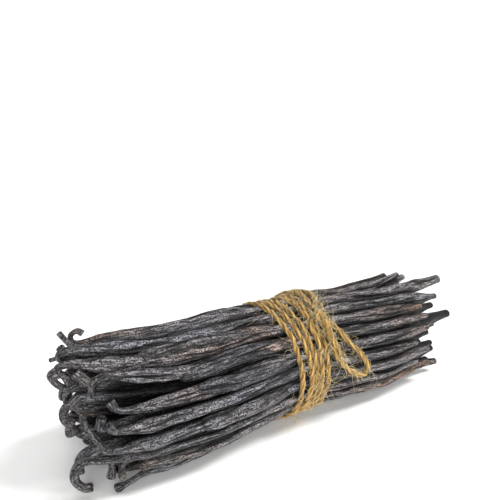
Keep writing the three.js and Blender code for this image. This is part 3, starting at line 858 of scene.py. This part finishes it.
station_inner = station_x[1:-1]
dye_seed = 31
most_dye = 0.36
dyes = np.random.default_rng(dye_seed).permutation(np.linspace(0, most_dye, pod_count))
piles = {"pods_far": [], "pods_top": [], "pods_near": [], "pods_low": [], "pods_over": []}
for pod in pods:
    index = pod["index"]
    outer = any(np.linalg.norm(place_at(index, x)) + pod["radius"] > half_width(x) - outer_reach
                for x in station_inner)
    y, z = place_at(index, 0)
    side = "far" if y > abs(z) else "near" if -y > abs(z) else "top" if z > 0 else "low"
    line, neck_at = pod_lines[index][:2]
    piles["pods_" + side].append(
        wrinkled(index, line, neck_at, lambda *at: pod_width(pod, *at), outer, dyes[index]))

# The four upper pods show no stalk. Their blunt end narrows a little.
over_dyes = [0.2, 0.05, 0.1, 0.15]
# The painted light on the upper pods never falls below this share, so their painted shade stays
# light.
over_painted_light = 0.45
no_neck = -10
blunt_narrowing = 0.2
blunt_length = 4
over_swell = 0.04
over_swell_length = 5
for number, (radius, places) in enumerate(over_pods):
    line = smooth_curve([off_skin(place) for place in places], pod_curve_steps)
    piles["pods_over"].append(wrinkled(
        pod_count + number, line, no_neck,
        lambda along, *_: radius * (
            1 - blunt_narrowing + blunt_narrowing * smooth(along / blunt_length)
            + over_swell * np.sin(along / over_swell_length)),
        True, over_dyes[number], over_painted_light))
for name, tubes in piles.items():
    pile = joined_tubes(name, tubes, skin)
    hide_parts("pods")


# Windings, knot and cut end. The same twine goes round the waist side by side, presses a little
# into the pods, comes back over itself behind the bundle and is knotted on the near side.
pressed_in = 0.9
knot_x = 8.3
turns = 5
turns_beside = 4.5

# Where each winding crosses the top and the near side, which lie these parts of a turn from the
# knot. The last half turn climbs over the others behind the bundle and comes back to the knot.
top_x = [knot_x, 7.3, 2.1, -1.5, -5.2]
top_turn = -0.12
front_x = [5.5, 2.75, 0.5, -1.75, -6.2]
front_turn = 0.17
over_x = 11
over_across = 0.6
over_back = 0.75
over_climb = 1.8
over_rise = 0.17
over_fall = [0.5, 0.65]

# The knot: two crossed rings of twine, so many degrees over the top from the far side.
knot_angle = 115
knot_radius = 1.6
knot_flatness = 0.85
knot_stretch = 1.35
knot_tilt = 20
knot_turn = 40
knot_points = 40
knot_rounds = 1.02

steps_per_turn = 60
over_steps = 30
wound_curve_steps = 6
cut_end_places = [
    [8.3, 118, 1.5], [8.1, 128, 2.6], [7.8, 138, 2.6], [7.7, 147, 2.6], [8.1, 155, 2.6],
    [9, 161, 2.5],
]
far_loop_places = [
    [8.9, 113.5, 1], [10.4, 105, 0.2], [12, 94, 0], [13, 80, 0], [13.3, 60, 0], [13.5, 42, 0],
    [15, 33, 0], [16.6, 42, 0], [17, 60, 0], [16.8, 80, 0], [15.6, 94, 0], [13.8, 103, 0.2],
    [9.8, 112, 1],
]


def round_pods(x, angle, clearance):
    """Where a stretched thread passes round the pods at x, on the side that faces angle."""
    outward = np.array([0, math.cos(angle), math.sin(angle)])
    best = None
    for _, _, line, width in pod_lines:
        centre = np.array([np.interp(x, line[:, 0], line[:, axis]) for axis in range(3)])
        radius = np.interp(x, line[:, 0], width)
        edge = np.array([0, radius**2 * outward[1], (press * radius) ** 2 * outward[2]])
        touch = centre + edge / math.hypot(radius * outward[1], press * radius * outward[2])
        if best is None or touch.dot(outward) > best.dot(outward):
            best = touch
    best = best + outward * clearance
    best[0] = x
    return best


def winding_point(turn):
    number = math.floor(turn - top_turn)
    to_front = smooth((turn - top_turn - number) / (front_turn - top_turn))
    to_top = smooth((turn - front_turn - number) / (1 + top_turn - front_turn))
    x = top_x[number] + (front_x[number] - top_x[number]) * to_front
    if number + 1 < len(top_x):
        x += (top_x[number + 1] - x) * to_top
    return round_pods(x, math.radians(knot_angle) + 2 * math.pi * turn, twine_layer - pressed_in)


def over_point(share, start_x):
    angle = math.radians(knot_angle) + 2 * math.pi * (turns_beside + (turns - turns_beside) * share)
    fall = smooth((over_fall[1] - share) / (over_fall[1] - over_fall[0]))
    climb = over_climb * smooth(share / over_rise) * fall
    x = start_x + (over_x - start_x) * smooth(share / over_across)
    x += (knot_x - x) * smooth((share - over_back) / (1 - over_back))
    return round_pods(x, angle, twine_layer - pressed_in + climb)


def knot_ring(tilt):
    around = np.linspace(0, 2 * math.pi * knot_rounds, knot_points)
    ring = knot_radius * np.stack([
        knot_flatness * np.cos(around), knot_stretch * np.sin(around), np.zeros(knot_points)], 1)
    turned = (Matrix.Rotation(math.radians(knot_angle - 90), 3, "X")
              @ Matrix.Rotation(-math.radians(knot_turn), 3, "Z")
              @ Matrix.Rotation(math.pi / 2 + math.radians(tilt), 3, "Y"))
    middle = round_pods(knot_x, math.radians(knot_angle), twine_layer + twine_radius)
    return ring @ np.array(turned).T + middle


steps = round(steps_per_turn * turns_beside)
windings = [winding_point(step / steps_per_turn) for step in range(steps + 1)]
over = [over_point(step / over_steps, windings[-1][0]) for step in range(1, over_steps + 1)]
wound_path = smooth_curve(windings + over, wound_curve_steps)
cut_path = smooth_curve([off_skin(place) for place in cut_end_places], curve_steps)
far_loop_path = smooth_curve([off_skin(place) for place in far_loop_places], curve_steps)
knot_paths = [knot_ring(knot_tilt), knot_ring(-knot_tilt)]
wound = joined_tubes("wound_twine", [twisted(wound_path, seed=2)], jute)
knot = joined_tubes(
    "knot", [twisted(knot_paths[0], seed=3), twisted(knot_paths[1], seed=4)], jute)
cut_end = joined_tubes("cut_end", [twisted(cut_path, seed=6)], jute)
far_loop = joined_tubes("far_bow_loop", [twisted(far_loop_path, seed=7)], jute)
for piece in (wound, knot, cut_end, far_loop):
    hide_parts("twine")


# Loose fibres. Jute sheds: single fibres stand off the twine in bent hairs a few millimetres
# long, and a tuft of them stands up from the knot. A real one is about 0.05 mm thick, and these
# are 0.12 mm, so that they show.
fibre_radius = 0.06
fibre_thinning = 0.6
fibre_length = [1.5, 8]
fibre_points = 9
fibre_sides = 3
fibre_root = 0.75
fibre_out = [0.3, 0.9]
fibre_along = [0.2, 1.6]
fibre_bend = [0.2, 0.8]
fibre_curl = [0.05, 0.15]
fibre_curl_turn = [5, 11]
fibre_lowest = 0.15
tuft_length = [3, 7]
tuft_towards = [0, -0.3, 1]
tuft_pull = [0.6, 1.2]
tuft_spread = 0.4


def hairs(path, count, seed, lengths=fibre_length, outward=None):
    """Bent hairs that leave a path's twine at random places."""
    chance = np.random.default_rng(seed)
    across, over = frames_along(path)
    made = []
    for _ in range(count):
        at = chance.integers(1, len(path) - 1)
        angle = chance.uniform(0, 2 * math.pi)
        out = across[at] * math.cos(angle) + over[at] * math.sin(angle)
        if outward is not None:
            out = out * tuft_spread + np.array(outward) * chance.uniform(*tuft_pull)
        along = (path[at + 1] - path[at - 1]) * chance.choice([-1, 1])
        along /= np.linalg.norm(along)
        start = out * chance.uniform(*fibre_out) + along * chance.uniform(*fibre_along)
        start /= np.linalg.norm(start)
        length = lengths[0] + (lengths[1] - lengths[0]) * chance.uniform() ** 2
        bend = np.cross(start, chance.normal(0, 1, 3)) * chance.uniform(*fibre_bend)
        curl = np.cross(start, chance.normal(0, 1, 3)) * chance.uniform(*fibre_curl)
        share = np.linspace(0, 1, fibre_points)[:, None]
        curl = curl * np.sin(chance.uniform(*fibre_curl_turn) * share)
        line = path[at] + out * twine_radius * fibre_root + length * (
            start * share + bend * share**2 + curl)
        taper = fibre_radius * (1 - fibre_thinning * share)
        first, second = frames_along(line)
        ring = np.linspace(0, 2 * math.pi, fibre_sides, endpoint=False)
        rings = line[:, None] + taper[..., None] * (
            first[:, None] * np.cos(ring)[:, None] + second[:, None] * np.sin(ring)[:, None])
        rings[..., 2] = np.maximum(rings[..., 2], fibre_lowest)
        made.append((rings, {}))
    return made


# A single jute fibre is silky and paler than the twine, because light passes through it.
fibre = new_material("loose_jute_fibre")
speckle_mm = 10 / 3
place = add_node(fibre, "ShaderNodeTexCoord")
speckle = add_node(
    fibre, "ShaderNodeTexNoise", {0: place.outputs["Object"]}, input_2=1 / (speckle_mm * MM))
fibre_colour = colour_ramp(fibre, speckle.outputs[0], (0.35, "#a8925c"), (0.65, "#ded2a8"))
fibre_rough = add_node(
    fibre, "ShaderNodeMapRange", {0: speckle.outputs[0]}, input_3=0.5, input_4=0.8)
fibre_bump = add_node(fibre, "ShaderNodeBump", {"Height": speckle.outputs[0]}, input_0=0.1)
surface(fibre, fibre_colour.outputs[0], fibre_rough.outputs[0], fibre_bump.outputs[0])

# Each length of twine has its own count of fibres and its own seed.
strays = []
for path, count, seed in (
        (wound_path, 900, 41), (loop_path, 190, 42), (cut_path, 70, 43),
        (far_loop_path, 110, 46), (knot_paths[0], 60, 44)):
    strays += hairs(path, count, seed)
strays += hairs(knot_paths[1], 26, 45, tuft_length, tuft_towards)
fuzz = joined_tubes("loose_fibres", strays, fibre)


# Floor and lights. The bundle lies on a plain white table. Two lights shine from its near side,
# one from high past the blossom tips and one from low past the stalks. A weaker, softer one
# shines from above.
floor_width = 60000
floor_mesh = bpy.data.meshes.new("floor")
builder = bmesh.new()
bmesh.ops.create_grid(builder, x_segments=1, y_segments=1, size=floor_width * MM / 2)
builder.to_mesh(floor_mesh)
builder.free()
floor = bpy.data.objects.new("floor", floor_mesh)
bpy.context.scene.collection.objects.link(floor)

# The table is matt white board, with clouds in its white too faint to be seen as a pattern.
table = new_material("white_table")
cloud_mm = 1000 / 3
place = add_node(table, "ShaderNodeTexCoord")
cloud = add_node(
    table, "ShaderNodeTexNoise", {0: place.outputs["Object"]}, input_2=1 / (cloud_mm * MM))
table_colour = colour_ramp(table, cloud.outputs[0], (0.3, "#f1f1ef"), (0.7, "#f6f6f5"))
table_rough = add_node(
    table, "ShaderNodeMapRange", {0: cloud.outputs[0]}, input_3=0.7, input_4=0.8)
table_bump = add_node(table, "ShaderNodeBump", {"Height": cloud.outputs[0]}, input_0=0.02)
surface(table, table_colour.outputs[0], table_rough.outputs[0], table_bump.outputs[0])
floor_mesh.materials.append(table)

# The surround is bright at the horizon, as a pale backdrop is, and darker overhead. It changes
# between these two sines of the angle above the horizon.
horizon_to_overhead = [0.08, 0.38]
surround_strength = [1.1, 0.12]
world = bpy.data.worlds.new("studio")
world.use_nodes = True
background = world.node_tree.nodes["Background"]
background.inputs[0].default_value = linear("#f4f6f8")
direction = add_node(world, "ShaderNodeTexCoord")
upwards = add_node(world, "ShaderNodeSeparateXYZ", {0: direction.outputs["Generated"]})
sky = add_node(
    world, "ShaderNodeMapRange", {0: upwards.outputs["Z"]},
    input_1=horizon_to_overhead[0], input_2=horizon_to_overhead[1],
    input_3=surround_strength[0], input_4=surround_strength[1])
world.node_tree.links.new(sky.outputs[0], background.inputs[1])
bpy.context.scene.world = world
for name, place, spread, power in (
        ("top_light", (-0.15, -0.25, 0.9), 0.6, 1.5),
        ("key_light", (0.42, -0.45, 0.75), 0.3, 3.0),
        ("front_light", (-0.45, -0.75, 0.35), 0.5, 2.8)):
    lamp = bpy.data.lights.new(name, "SUN")
    lamp.energy = power
    lamp.angle = spread
    light = bpy.data.objects.new(name, lamp)
    light.rotation_euler = (-Vector(place)).to_track_quat("-Z", "Y").to_euler()
    bpy.context.scene.collection.objects.link(light)
